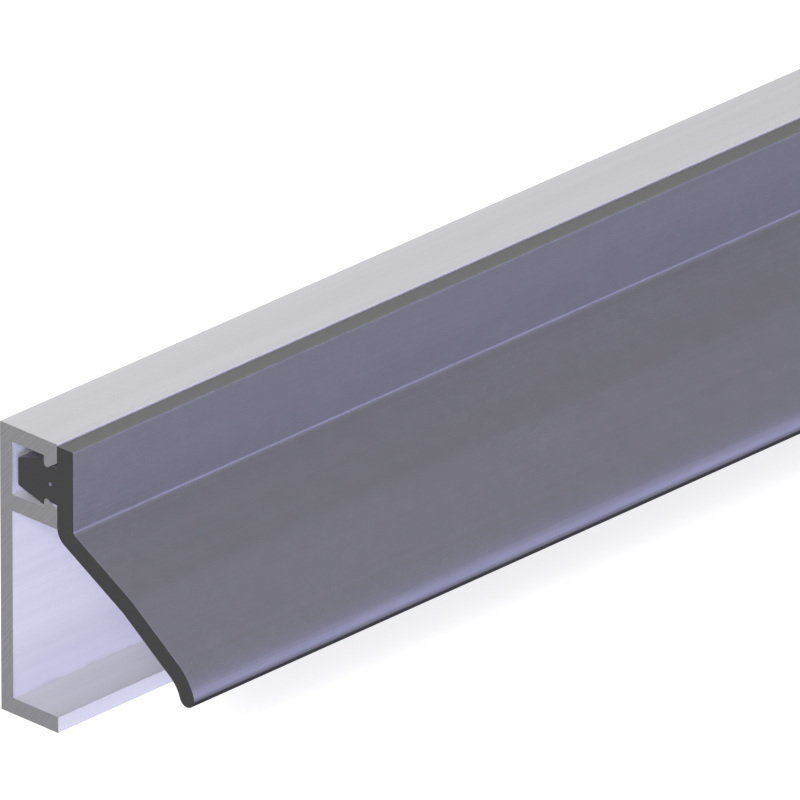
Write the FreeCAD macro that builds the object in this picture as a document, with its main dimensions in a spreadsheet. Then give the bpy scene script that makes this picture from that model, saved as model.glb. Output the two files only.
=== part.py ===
import FreeCAD, Part
import math
import os

import Sketcher

# A door bottom seal: an extruded aluminium carrier that is screwed to the foot of a door leaf, and a rubber
# blade that is pushed into the carrier's T-slot. All sizes are in millimetres and degrees.
# X runs along the seal, the blade faces -Y, and Z points up. The origin is the middle of the face that
# lies on the door. On a section, x of the sketch is Y of the part and y of the sketch is Z.

DRIVING_SIZES = [
    # name, value, what it measures
    ("profile_length", 600.0, "cut length of the carrier and of the seal"),
    ("carrier_height", 40.0, "carrier, top to foot"),
    ("carrier_depth", 10.0, "carrier, door face to front"),
    ("wall_thickness", 2.1, "back wall of the carrier"),
    ("flange_thickness", 2.2, "top, middle and bottom flange"),
    ("slot_height", 7.35, "inside height of the T-slot, flange to flange"),
    ("lip_thickness", 2.3, "lips of the T-slot, inner side to front"),
    ("mouth_height", 4.38, "opening between the two lip noses"),
    ("nose_radius", 0.5, "rounding of each lip nose"),
    ("lead_in_angle", 33.0, "slope of each lip from its nose to the front"),
    ("screw_hole_length", 10.0, "slotted screw hole, end to end"),
    ("screw_hole_width", 4.5, "slotted screw hole, across"),
    ("screw_end_distance", 45.0, "cut end to the middle of the first hole"),
    ("screw_hole_count", 4, "slotted holes along the back wall"),
    ("key_nose_gap", 1.09, "back of the T-slot to the flat nose of the key"),
    ("key_nose_height", 3.84, "flat nose of the key"),
    ("barb_gap", 0.5, "tip of each barb to the flange beside it"),
    ("seat_clearance", 0.05, "rubber to the lips that it grips"),
    ("neck_grip", 0.31, "depth that each lip nose sits in the neck"),
    ("leg_thickness", 2.8, "leg of the seal on the carrier's front"),
    ("top_setback", 0.22, "top of the leg below the carrier's top"),
    ("bend_setback", 0.37, "start of the bend above the middle flange's foot"),
    ("blade_thickness", 2.55, "blade, all the way down"),
    ("blade_droop", 30.0, "upper run of the blade below the horizontal"),
    ("kink_turn", 6.5, "how much steeper the lower run is"),
    ("tip_turn", 36.0, "how much further the tip curls down"),
    ("back_bend_radius", 2.5, "bend below the leg, door side"),
    ("front_bend_radius", 0.8, "bend below the leg, front side"),
    ("kink_radius", 6.0, "kink between the two runs, door side"),
    ("tip_radius", 4.76, "curl of the tip, door side"),
    ("upper_run", 11.48, "straight part of the upper run, door side"),
    ("lower_run", 9.8, "straight part of the lower run, door side"),
    ("cord_diameter", 0.55, "cord that keeps the rubber from stretching"),
    ("cord_setback", 1.2, "middle of the cord behind the carrier's front"),
]

START, END, CENTRE = 1, 2, 3
SKETCH_ORIGIN = (-1, 1)
VOLUME_TOLERANCE = 1e-6


def at(y, z):
    """A point of a section."""
    return FreeCAD.Vector(y, z, 0)


def step_down(degrees):
    """The unit step away from the door that is tipped down by this many degrees."""
    angle = math.radians(degrees)
    return at(-math.cos(angle), -math.sin(angle))


def step_out(degrees):
    """The unit step square to step_down(degrees), towards the front and the top."""
    angle = math.radians(degrees)
    return at(-math.sin(angle), math.cos(angle))


def make_sheet(doc):
    """Puts each driving size in a named cell of the sheet and returns the sizes by name."""
    sheet = doc.addObject("Spreadsheet::Sheet", "Sizes")
    for row, (name, value, meaning) in enumerate(DRIVING_SIZES, start=1):
        sheet.set(f"A{row}", meaning)
        sheet.set(f"B{row}", str(value))
        sheet.setAlias(f"B{row}", name)
    doc.recompute()
    return {name: sheet.get(name) for name, _, _ in DRIVING_SIZES}


class Pen:
    """Draws a closed outline on a sketch, side by side, and joins each side to the one before it."""

    def __init__(self, sketch, start):
        self.sketch = sketch
        self.place = start
        self.head = None
        self.tail = None

    def join(self, index, near, far, smooth):
        if self.tail is None:
            self.head = (index, near)
        else:
            kind = "Tangent" if smooth else "Coincident"
            self.sketch.addConstraint(Sketcher.Constraint(kind, *self.tail, index, near))
        self.tail = (index, far)

    def line(self, end, smooth=False):
        index = self.sketch.addGeometry(Part.LineSegment(self.place, end), False)
        self.join(index, START, END, smooth)
        self.place = end
        return index

    def arc(self, centre, end, clockwise=False):
        """An arc that leaves the side before it smoothly."""
        first, last = (end, self.place) if clockwise else (self.place, end)
        circle = Part.Circle(centre, FreeCAD.Vector(0, 0, 1), (end - centre).Length)
        angles = [math.atan2(point.y - centre.y, point.x - centre.x) for point in (first, last)]
        index = self.sketch.addGeometry(Part.ArcOfCircle(circle, *angles), False)
        near, far = (END, START) if clockwise else (START, END)
        self.join(index, near, far, smooth=True)
        self.place = end
        return index

    def close(self, smooth=False):
        kind = "Tangent" if smooth else "Coincident"
        self.sketch.addConstraint(Sketcher.Constraint(kind, *self.tail, *self.head))


def hold(sketch, kind, *places):
    """Adds a constraint that has no size, such as Symmetric."""
    sketch.addConstraint(Sketcher.Constraint(kind, *places))


def level(sketch, *lines):
    for line in lines:
        hold(sketch, "Horizontal", line)


def upright(sketch, *lines):
    for line in lines:
        hold(sketch, "Vertical", line)


def guide(sketch, start, end):
    """A construction line, which places the outline and is no part of it."""
    return sketch.addGeometry(Part.LineSegment(start, end), True)


def bind(sketch, kind, places, value, formula):
    """Adds a dimension at its starting value and ties it to cells of the sheet."""
    index = sketch.addConstraint(Sketcher.Constraint(kind, *places, value))
    name = f"size_{index}"
    sketch.renameConstraint(index, name)
    sketch.setExpression(f"Constraints.{name}", formula)


def new_body(doc, label):
    body = doc.addObject("PartDesign::Body", label)
    body.Label = label
    return body


def new_sketch(body, name, plane_role):
    sketch = body.newObject("Sketcher::SketchObject", name)
    plane = next(plane for plane in body.Origin.OriginFeatures if plane.Role == plane_role)
    sketch.AttachmentSupport = [(plane, "")]
    sketch.MapMode = "FlatFace"
    return sketch


def extrude_section(body, sketch, name):
    """Pads a section both ways along X to the cut length."""
    pad = body.newObject("PartDesign::Pad", name)
    pad.Profile = sketch
    pad.SideType = "Symmetric"
    pad.setExpression("Length", "Sizes.profile_length")
    body.Tip = pad


def key_line(size):
    """Height of the T-slot's middle line, on which the key and the cord lie."""
    return size["carrier_height"] / 2 - size["flange_thickness"] - size["slot_height"] / 2


KEY_LINE_FORMULA = "Sizes.carrier_height / 2 - Sizes.flange_thickness - Sizes.slot_height / 2"


def lip_nose(size, side):
    """Middle of a lip nose's rounding: side is 1 for the upper lip and -1 for the lower."""
    y = -(size["carrier_depth"] - size["lip_thickness"] + size["nose_radius"])
    rise = size["mouth_height"] / 2 + size["nose_radius"]
    return at(y, key_line(size) + side * rise)


def slope_start(size, side, clearance):
    """Where the slope of a lip, or of the rubber at this clearance from it, leaves the nose."""
    angle = math.radians(size["lead_in_angle"])
    reach = size["nose_radius"] + clearance
    return lip_nose(size, side) + at(-math.sin(angle), -side * math.cos(angle)) * reach


def slope_end(size, side, start, run):
    """Where that slope ends, this far in front of its start."""
    return start + at(-run, side * run * math.tan(math.radians(size["lead_in_angle"])))


def bind_lip_noses(sketch, size, upper, lower, middle_line, clearance, clearance_formula):
    """Holds the two arcs round the lip noses, even about the middle line."""
    bind(sketch, "Radius", (upper,), size["nose_radius"] + clearance, "Sizes.nose_radius" + clearance_formula)
    hold(sketch, "Equal", upper, lower)
    hold(sketch, "Symmetric", upper, CENTRE, lower, CENTRE, middle_line)
    bind(sketch, "DistanceY", (lower, CENTRE, upper, CENTRE),
         size["mouth_height"] + 2 * size["nose_radius"], "Sizes.mouth_height + 2 * Sizes.nose_radius")
    bind(sketch, "DistanceX", (upper, CENTRE, *SKETCH_ORIGIN), -lip_nose(size, 1).x,
         "Sizes.carrier_depth - Sizes.lip_thickness + Sizes.nose_radius")


def draw_carrier_section(sketch, size):
    top = size["carrier_height"] / 2
    front = -size["carrier_depth"]
    lip_inside = front + size["lip_thickness"]
    wall_front = -size["wall_thickness"]
    slot_top = top - size["flange_thickness"]
    slot_foot = slot_top - size["slot_height"]
    channel_top = slot_foot - size["flange_thickness"]
    channel_foot = -top + size["flange_thickness"]
    upper_nose, lower_nose = lip_nose(size, 1), lip_nose(size, -1)
    upper_start, lower_start = slope_start(size, 1, 0), slope_start(size, -1, 0)
    slope_run = upper_start.x - front

    pen = Pen(sketch, at(0, top))
    top_face = pen.line(at(front, top))
    upper_front = pen.line(slope_end(size, 1, upper_start, slope_run))
    upper_slope = pen.line(upper_start)
    upper_arc = pen.arc(upper_nose, at(lip_inside, upper_nose.y))
    upper_lip = pen.line(at(lip_inside, slot_top), smooth=True)
    slot_roof = pen.line(at(wall_front, slot_top))
    slot_back = pen.line(at(wall_front, slot_foot))
    slot_floor = pen.line(at(lip_inside, slot_foot))
    lower_lip = pen.line(at(lip_inside, lower_nose.y))
    lower_arc = pen.arc(lower_nose, lower_start)
    pen.line(slope_end(size, -1, lower_start, slope_run), smooth=True)
    middle_front = pen.line(at(front, channel_top))
    channel_roof = pen.line(at(wall_front, channel_top))
    channel_back = pen.line(at(wall_front, channel_foot))
    channel_floor = pen.line(at(front, channel_foot))
    foot_front = pen.line(at(front, -top))
    foot = pen.line(at(0, -top))
    door_face = pen.line(at(0, top))
    pen.close()

    level(sketch, top_face, slot_roof, slot_floor, channel_roof, channel_floor, foot)
    upright(sketch, upper_front, upper_lip, slot_back, lower_lip)
    upright(sketch, middle_front, channel_back, foot_front, door_face)

    middle_line = guide(sketch, at(wall_front, key_line(size)), at(front, key_line(size)))
    level(sketch, middle_line)
    hold(sketch, "Symmetric", slot_back, START, slot_back, END, middle_line, START)
    hold(sketch, "PointOnObject", middle_line, END, upper_front)
    hold(sketch, "Symmetric", upper_front, END, middle_front, START, middle_line)
    hold(sketch, "Symmetric", door_face, START, door_face, END, *SKETCH_ORIGIN)
    hold(sketch, "Vertical", channel_roof, START, channel_floor, END)
    hold(sketch, "Vertical", slot_back, END, channel_back, START)
    bind_lip_noses(sketch, size, upper_arc, lower_arc, middle_line, 0, "")

    bind(sketch, "Angle", (upper_slope,), -math.radians(size["lead_in_angle"]), "-Sizes.lead_in_angle")
    bind(sketch, "DistanceY", (door_face, START, door_face, END), size["carrier_height"], "Sizes.carrier_height")
    bind(sketch, "DistanceX", (top_face, END, top_face, START), size["carrier_depth"], "Sizes.carrier_depth")
    bind(sketch, "DistanceX", (slot_back, START, *SKETCH_ORIGIN), size["wall_thickness"], "Sizes.wall_thickness")
    bind(sketch, "DistanceY", (slot_back, END, slot_back, START), size["slot_height"], "Sizes.slot_height")
    flanges = [
        (slot_roof, END, top_face, START),
        (channel_back, START, slot_back, END),
        (foot, START, channel_floor, END),
    ]
    for places in flanges:
        bind(sketch, "DistanceY", places, size["flange_thickness"], "Sizes.flange_thickness")


def draw_screw_hole(sketch, size):
    """One slotted hole, the nearest to the left end, at half the height of the open channel."""
    radius = size["screw_hole_width"] / 2
    reach = size["screw_hole_length"] / 2 - radius
    middle_x = size["screw_end_distance"] - size["profile_length"] / 2
    middle_z = -(size["flange_thickness"] + size["slot_height"]) / 2
    left, right = at(middle_x - reach, middle_z), at(middle_x + reach, middle_z)
    up = at(0, radius)

    pen = Pen(sketch, right + up)
    roof = pen.line(left + up)
    left_arc = pen.arc(left, left - up)
    floor = pen.line(right - up, smooth=True)
    right_arc = pen.arc(right, right + up)
    pen.close(smooth=True)

    level(sketch, roof, floor)
    bind(sketch, "Radius", (left_arc,), radius, "Sizes.screw_hole_width / 2")
    bind(sketch, "DistanceX", (left_arc, CENTRE, right_arc, CENTRE), 2 * reach,
         "Sizes.screw_hole_length - Sizes.screw_hole_width")
    bind(sketch, "DistanceX", (left_arc, CENTRE, *SKETCH_ORIGIN), -left.x,
         "Sizes.profile_length / 2 - Sizes.screw_end_distance"
         " + (Sizes.screw_hole_length - Sizes.screw_hole_width) / 2")
    bind(sketch, "DistanceY", (left_arc, CENTRE, *SKETCH_ORIGIN), -left.y,
         "(Sizes.flange_thickness + Sizes.slot_height) / 2")


def make_carrier(doc, size):
    """The aluminium extrusion, with slotted screw holes through its back wall."""
    body = new_body(doc, "carrier_profile")
    section = new_sketch(body, "CarrierSection", "YZ_Plane")
    draw_carrier_section(section, size)
    extrude_section(body, section, "CarrierLength")

    outline = new_sketch(body, "ScrewHoleOutline", "XZ_Plane")
    draw_screw_hole(outline, size)
    hole = body.newObject("PartDesign::Pocket", "ScrewHole")
    hole.Profile = outline
    hole.Type = "ThroughAll"
    hole.Reversed = True

    row = body.newObject("PartDesign::LinearPattern", "ScrewHoleRow")
    row.Originals = [hole]
    row.Direction = (outline, ["H_Axis"])
    row.Mode = "Extent"
    row.setExpression("Length", "Sizes.profile_length - 2 * Sizes.screw_end_distance")
    row.setExpression("Occurrences", "Sizes.screw_hole_count")
    body.Tip = row
    return body


def draw_cord_circle(sketch, size):
    """The cord's round section, on the middle line of the key."""
    centre = at(size["cord_setback"] - size["carrier_depth"], key_line(size))
    circle = Part.Circle(centre, FreeCAD.Vector(0, 0, 1), size["cord_diameter"] / 2)
    index = sketch.addGeometry(circle, False)
    bind(sketch, "Diameter", (index,), size["cord_diameter"], "Sizes.cord_diameter")
    bind(sketch, "DistanceX", (index, CENTRE, *SKETCH_ORIGIN), -centre.x,
         "Sizes.carrier_depth - Sizes.cord_setback")
    bind(sketch, "DistanceY", (*SKETCH_ORIGIN, index, CENTRE), centre.y, KEY_LINE_FORMULA)


def draw_seal_section(sketch, size):
    middle = key_line(size)
    nose_y = -(size["wall_thickness"] + size["key_nose_gap"])
    nose_half = size["key_nose_height"] / 2
    shoulder_y = -(size["carrier_depth"] - size["lip_thickness"] - size["seat_clearance"])
    barb_half = size["slot_height"] / 2 - size["barb_gap"]
    neck_half = size["mouth_height"] / 2 + size["neck_grip"]
    leg_back = -size["carrier_depth"]
    leg_front = leg_back - size["leg_thickness"]
    leg_top = size["carrier_height"] / 2 - size["top_setback"]
    thickness = size["blade_thickness"]

    # The neck takes the shape of the lips: round each nose and up its slope.
    upper_nose, lower_nose = lip_nose(size, 1), lip_nose(size, -1)
    upper_start = slope_start(size, 1, size["seat_clearance"])
    lower_start = slope_start(size, -1, size["seat_clearance"])
    slope_rise = middle + neck_half - upper_start.y
    slope_run = slope_rise / math.tan(math.radians(size["lead_in_angle"]))

    # The blade's door side, from the leg down to the tip. Its front side lies one thickness further out.
    upper_angle = size["blade_droop"]
    lower_angle = upper_angle + size["kink_turn"]
    tip_angle = lower_angle + size["tip_turn"]
    bend_rise = size["slot_height"] / 2 + size["flange_thickness"] - size["bend_setback"]
    bend_start = at(leg_back, middle - bend_rise)
    bend_centre = bend_start + at(-size["back_bend_radius"], 0)
    bend_end = bend_centre - step_out(upper_angle) * size["back_bend_radius"]
    kink_start = bend_end + step_down(upper_angle) * size["upper_run"]
    kink_centre = kink_start - step_out(upper_angle) * size["kink_radius"]
    kink_end = kink_centre + step_out(lower_angle) * size["kink_radius"]
    curl_start = kink_end + step_down(lower_angle) * size["lower_run"]
    curl_centre = curl_start - step_out(lower_angle) * size["tip_radius"]
    curl_end = curl_centre + step_out(tip_angle) * size["tip_radius"]
    tip_centre = curl_end + step_out(tip_angle) * (thickness / 2)

    # The inner corner where the leg's front meets the blade.
    out = step_out(upper_angle)
    run_front = kink_start + out * thickness
    corner_y = leg_front - size["front_bend_radius"]
    corner_rise = (size["front_bend_radius"] - (corner_y - run_front.x) * out.x) / out.y
    corner_centre = at(corner_y, run_front.y + corner_rise)

    pen = Pen(sketch, at(nose_y, middle + nose_half))
    upper_flank = pen.line(at(shoulder_y, middle + barb_half))
    upper_shoulder = pen.line(at(shoulder_y, upper_nose.y))
    upper_recess = pen.arc(upper_nose, upper_start, clockwise=True)
    upper_slope = pen.line(slope_end(size, 1, upper_start, slope_run), smooth=True)
    neck_roof = pen.line(at(leg_back, middle + neck_half))
    back_above = pen.line(at(leg_back, leg_top))
    leg_roof = pen.line(at(leg_front, leg_top))
    leg_face = pen.line(at(leg_front, corner_centre.y))
    front_bend = pen.arc(corner_centre, corner_centre - out * size["front_bend_radius"], clockwise=True)
    upper_face = pen.line(run_front, smooth=True)
    face_kink = pen.arc(kink_centre, kink_end + step_out(lower_angle) * thickness)
    lower_face = pen.line(curl_start + step_out(lower_angle) * thickness, smooth=True)
    face_curl = pen.arc(curl_centre, curl_end + step_out(tip_angle) * thickness)
    pen.arc(tip_centre, curl_end)
    back_curl = pen.arc(curl_centre, curl_start, clockwise=True)
    lower_back = pen.line(kink_end, smooth=True)
    back_kink = pen.arc(kink_centre, kink_start, clockwise=True)
    upper_back = pen.line(bend_end, smooth=True)
    back_bend = pen.arc(bend_centre, bend_start)
    back_below = pen.line(at(leg_back, middle - neck_half), smooth=True)
    neck_floor = pen.line(slope_end(size, -1, lower_start, slope_run))
    pen.line(lower_start)
    lower_recess = pen.arc(lower_nose, at(shoulder_y, lower_nose.y), clockwise=True)
    lower_shoulder = pen.line(at(shoulder_y, middle - barb_half), smooth=True)
    lower_flank = pen.line(at(nose_y, middle - nose_half))
    key_nose = pen.line(at(nose_y, middle + nose_half))
    pen.close()

    level(sketch, neck_roof, leg_roof, neck_floor)
    upright(sketch, upper_shoulder, back_above, leg_face, back_below, lower_shoulder, key_nose)

    # The key, even about the T-slot's middle line.
    middle_line = guide(sketch, at(nose_y, middle), at(leg_back, middle))
    level(sketch, middle_line)
    hold(sketch, "PointOnObject", middle_line, END, back_below)
    hold(sketch, "Symmetric", key_nose, START, key_nose, END, middle_line, START)
    hold(sketch, "Symmetric", neck_roof, START, neck_floor, END, middle_line)
    hold(sketch, "Vertical", neck_roof, END, neck_floor, START)
    bind_lip_noses(sketch, size, upper_recess, lower_recess, middle_line,
                   size["seat_clearance"], " + Sizes.seat_clearance")
    bind(sketch, "DistanceY", (*SKETCH_ORIGIN, middle_line, START), middle, KEY_LINE_FORMULA)
    bind(sketch, "DistanceX", (key_nose, END, *SKETCH_ORIGIN), -nose_y,
         "Sizes.wall_thickness + Sizes.key_nose_gap")
    bind(sketch, "DistanceY", (key_nose, START, key_nose, END), 2 * nose_half, "Sizes.key_nose_height")
    barb_formula = "Sizes.slot_height / 2 - Sizes.barb_gap"
    bind(sketch, "DistanceY", (middle_line, START, upper_flank, END), barb_half, barb_formula)
    bind(sketch, "DistanceY", (lower_flank, START, middle_line, START), barb_half, barb_formula)
    bind(sketch, "DistanceY", (neck_floor, END, neck_roof, START), 2 * neck_half,
         "Sizes.mouth_height + 2 * Sizes.neck_grip")
    bind(sketch, "Angle", (upper_slope,), math.radians(180 - size["lead_in_angle"]),
         "180 - Sizes.lead_in_angle")

    # The leg, flat on the carrier's front.
    bind(sketch, "DistanceX", (leg_roof, START, *SKETCH_ORIGIN), -leg_back, "Sizes.carrier_depth")
    bind(sketch, "DistanceX", (leg_roof, END, leg_roof, START), size["leg_thickness"], "Sizes.leg_thickness")
    bind(sketch, "DistanceY", (*SKETCH_ORIGIN, leg_roof, START), leg_top,
         "Sizes.carrier_height / 2 - Sizes.top_setback")
    bind(sketch, "DistanceY", (back_below, START, middle_line, START), bend_rise,
         "Sizes.slot_height / 2 + Sizes.flange_thickness - Sizes.bend_setback")

    # The blade, one thickness throughout, from the bend to its curled and rounded tip.
    hold(sketch, "Parallel", upper_face, upper_back)
    hold(sketch, "Parallel", lower_face, lower_back)
    hold(sketch, "Coincident", face_kink, CENTRE, back_kink, CENTRE)
    hold(sketch, "Coincident", face_curl, CENTRE, back_curl, CENTRE)
    curl_radius = guide(sketch, curl_centre, curl_end)
    hold(sketch, "Coincident", curl_radius, START, back_curl, CENTRE)
    hold(sketch, "Coincident", curl_radius, END, back_curl, END)
    bind(sketch, "Distance", (upper_face, START, upper_back), thickness, "Sizes.blade_thickness")
    bind(sketch, "Radius", (back_bend,), size["back_bend_radius"], "Sizes.back_bend_radius")
    bind(sketch, "Radius", (front_bend,), size["front_bend_radius"], "Sizes.front_bend_radius")
    bind(sketch, "Radius", (back_kink,), size["kink_radius"], "Sizes.kink_radius")
    bind(sketch, "Radius", (back_curl,), size["tip_radius"], "Sizes.tip_radius")
    bind(sketch, "Distance", (upper_back,), size["upper_run"], "Sizes.upper_run")
    bind(sketch, "Distance", (lower_back,), size["lower_run"], "Sizes.lower_run")
    bind(sketch, "Angle", (upper_back,), math.radians(upper_angle), "Sizes.blade_droop")
    bind(sketch, "Angle", (lower_back,), math.radians(lower_angle), "Sizes.blade_droop + Sizes.kink_turn")
    bind(sketch, "Angle", (curl_radius,), math.radians(90 + tip_angle),
         "90 + Sizes.blade_droop + Sizes.kink_turn + Sizes.tip_turn")

    draw_cord_circle(sketch, size)


def make_seal(doc, size):
    """The rubber seal: key, neck, leg and blade in one section, with a bore for the cord."""
    body = new_body(doc, "blade_seal")
    section = new_sketch(body, "SealSection", "YZ_Plane")
    draw_seal_section(section, size)
    extrude_section(body, section, "SealLength")
    return body


def make_cord(doc, size):
    """The cord in the seal's neck."""
    body = new_body(doc, "stretch_cord")
    section = new_sketch(body, "CordSection", "YZ_Plane")
    draw_cord_circle(section, size)
    extrude_section(body, section, "CordLength")
    return body


def area_inside(sketch):
    """Area that a sketch encloses, less what its inner outlines leave open."""
    return Part.makeFace(sketch.Shape, "Part::FaceMakerBullseye").Area


def check_volumes(doc, size):
    """Stops the build where a pad or a hole isn't as long or as deep as the sizes say."""
    holes = size["screw_hole_count"] * area_inside(doc.ScrewHoleOutline) * size["wall_thickness"]
    expected = {
        "carrier_profile": area_inside(doc.CarrierSection) * size["profile_length"] - holes,
        "blade_seal": area_inside(doc.SealSection) * size["profile_length"],
        "stretch_cord": area_inside(doc.CordSection) * size["profile_length"],
    }
    for label, volume in expected.items():
        built = doc.getObject(label).Shape.Volume
        if abs(built - volume) > VOLUME_TOLERANCE * volume:
            raise ValueError(f"{label} has a volume of {built:.3f}, and its section gives {volume:.3f}")


def check_document(doc, bodies):
    """Stops the build where any object failed, a sketch is loose or a body isn't one sound solid."""
    for item in doc.Objects:
        if {"Invalid", "Error"} & set(item.State):
            raise ValueError(f"{item.Label} is {item.State}")
        if item.isDerivedFrom("Sketcher::SketchObject") and not item.FullyConstrained:
            raise ValueError(f"{item.Label} isn't fully constrained")
    for body in bodies:
        shape = body.Shape
        if shape.isNull() or not shape.isValid() or len(shape.Solids) != 1:
            raise ValueError(f"{body.Label} isn't one valid solid")


def main():
    doc = FreeCAD.newDocument("DoorBottomSeal")
    size = make_sheet(doc)
    bodies = [make_carrier(doc, size), make_seal(doc, size), make_cord(doc, size)]
    doc.recompute()
    check_document(doc, bodies)
    check_volumes(doc, size)
    os.makedirs("parts", exist_ok=True)
    for body in bodies:
        body.Shape.exportStep(f"parts/{body.Label}.step")
        print(f"{body.Label}: {body.Shape.Volume / 1000:.3f} cm3, {len(body.Shape.Faces)} faces")


main()
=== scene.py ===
import math
import random
from collections import namedtuple

import bpy
from bpy.props import FloatProperty, FloatVectorProperty, IntProperty, PointerProperty
from bpy.types import Operator, Panel, PropertyGroup
from mathutils import Matrix, Vector
from mathutils.geometry import tessellate_polygon


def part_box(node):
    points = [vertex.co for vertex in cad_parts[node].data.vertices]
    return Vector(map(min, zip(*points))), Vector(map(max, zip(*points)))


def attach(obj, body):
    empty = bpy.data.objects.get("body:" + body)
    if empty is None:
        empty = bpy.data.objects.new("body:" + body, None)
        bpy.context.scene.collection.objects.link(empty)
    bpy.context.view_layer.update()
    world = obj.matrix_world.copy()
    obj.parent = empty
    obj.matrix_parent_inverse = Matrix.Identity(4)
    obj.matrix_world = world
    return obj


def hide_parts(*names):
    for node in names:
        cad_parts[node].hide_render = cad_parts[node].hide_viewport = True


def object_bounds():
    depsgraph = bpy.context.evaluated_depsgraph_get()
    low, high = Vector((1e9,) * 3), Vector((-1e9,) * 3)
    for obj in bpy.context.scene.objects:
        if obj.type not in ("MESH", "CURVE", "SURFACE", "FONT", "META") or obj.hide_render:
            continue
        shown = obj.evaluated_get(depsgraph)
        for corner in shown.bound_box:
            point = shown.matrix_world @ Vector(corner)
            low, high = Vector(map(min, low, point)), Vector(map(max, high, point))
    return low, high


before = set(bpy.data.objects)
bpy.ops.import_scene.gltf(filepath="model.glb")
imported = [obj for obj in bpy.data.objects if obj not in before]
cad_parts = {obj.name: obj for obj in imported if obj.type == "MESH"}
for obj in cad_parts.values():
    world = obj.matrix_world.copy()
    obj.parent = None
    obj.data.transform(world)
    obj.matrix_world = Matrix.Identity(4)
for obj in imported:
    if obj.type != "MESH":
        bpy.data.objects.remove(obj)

bl_info = {
    "name": "Door Bottom Seal",
    "version": (1, 0, 0),
    "blender": (4, 5, 0),
    "location": "3D View > Sidebar > Door Seal",
    "description": "Builds a door bottom seal: aluminium carrier, push-in rubber blade and its cord",
    "category": "Object",
}

CAD_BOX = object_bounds()
CARRIER_LOW, CARRIER_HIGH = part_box("carrier_profile")
HALF_LENGTH = (CARRIER_HIGH.x - CARRIER_LOW.x) / 2
CARRIER_DEPTH = CARRIER_HIGH.y - CARRIER_LOW.y
CARRIER_TOP = CARRIER_HIGH.z
CARRIER_FOOT = CARRIER_LOW.z
FLOOR_HEIGHT = CAD_BOX[0].z

# How the sections are drawn, in metres and radians.
ARC_TOLERANCE = 0.000002
FEWEST_ARC_STEPS = 3
CUT_EDGE_STEPS = 3
CUT_RIM = 0.000015
SAME_PLACE = 0.0000001
# Wear lies on small roundings that turn sharply, and fades along a band beside them.
WORN_BAND = 0.0004
LARGEST_WORN_RADIUS = 0.0004
LEAST_WORN_TURN = math.radians(25)
# Painted shade on the underside of the blade's rounded tip: where it starts and how it fades, by how
# far the tip faces along the blade.
PAINTED_SHADE_FROM = 0.28
PAINTED_SHADE_FADE = 0.25

# The camera stands where the photograph was taken from. Its lens is so long that parallel edges stay
# nearly parallel.
CAMERA_AZIMUTH = math.radians(-45.893)
CAMERA_ELEVATION = math.radians(25.504)
CAMERA_DISTANCE = 4.4748
CAMERA_LENS = 1600.0
CAMERA_SENSOR = 36.0
CAMERA_RANGE = (0.1, 60.0)
CAMERA_TARGET = Vector((-0.23856, -0.010, 0.005135))

# The lamps. The high and low ones are kept out of reflections, so that the metal doesn't glare from
# behind. The front one lights the rubber alone, and draws the light line along its bend and tip.
Lamp = namedtuple("Lamp", "name place size power tint mirrored lit_piece", defaults=(True, None))
LAMPS = (
    Lamp("overhead_lamp", (-0.25, 0.10, 1.50), (1.3, 1.3), "overhead_power", "high_tint"),
    Lamp("high_lamp", (-2.04, -0.99, 1.20), (0.8, 0.8), "high_power", "high_tint", mirrored=False),
    Lamp("low_lamp", (-1.92, -1.67, 0.25), (0.9, 0.35), "low_power", "low_tint", mirrored=False),
    Lamp("front_lamp", (1.42, -1.89, 0.11), (1.0, 0.2), "front_power", "low_tint",
         lit_piece="rubber_blade_seal"),
)
LAMPS_AIM = Vector((-0.2, -0.01, 0.0))


# Settings

def length(name, description, default):
    return FloatProperty(name=name, description=description, default=default, min=0.00001,
                         precision=5, step=0.01, unit="LENGTH", subtype="DISTANCE")


def angle(name, description, degrees):
    return FloatProperty(name=name, description=description, default=math.radians(degrees),
                         min=0.0, max=math.pi / 2, subtype="ANGLE", unit="ROTATION")


def colour(name, description, default):
    return FloatVectorProperty(name=name, description=description, default=default, size=3,
                               min=0.0, max=1.0, subtype="COLOR")


def power(name, description, default):
    return FloatProperty(name=name, description=description, default=default, min=0.0, unit="POWER")


class CarrierSettings(PropertyGroup):
    wall_thickness: length("Wall", "Thickness of the back wall", 0.0021)
    flange_thickness: length("Flanges", "Thickness of the top, middle and bottom flange", 0.0022)
    slot_height: length("Slot Height", "Inside height of the T-slot", 0.00735)
    lip_thickness: length("Lips", "Thickness of the lips of the T-slot", 0.0023)
    mouth_height: length("Mouth", "Opening between the two lip noses", 0.00438)
    nose_radius: length("Nose Radius", "Rounding of each lip nose", 0.0005)
    lead_in: angle("Lead-in", "Slope of each lip from its nose to the front", 33.0)
    corner_radius: length("Outer Corners", "Rounding of the outer corners of the extrusion", 0.00009)
    root_radius: length("Inner Corners", "Rounding of the inner corners of the extrusion", 0.00012)
    cut_radius: length("Cut Edges", "Rounding left by deburring the sawn ends and the holes", 0.00006)
    hole_length: length("Hole Length", "Slotted screw hole, end to end", 0.010)
    hole_width: length("Hole Width", "Slotted screw hole, across", 0.0045)
    hole_end_distance: length("First Hole", "Cut end to the middle of the first hole", 0.045)
    hole_count: IntProperty(name="Holes", description="Slotted holes in the back wall", default=4,
                            min=2, max=12)
    anodised: colour("Anodised", "Satin anodised skin", (0.597, 0.597, 0.613))
    # The sawn colour is bare metal made darker as painted shade on the cut ends.
    sawn: colour("Sawn", "Bare metal of the cut ends", (0.264, 0.261, 0.274))


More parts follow.
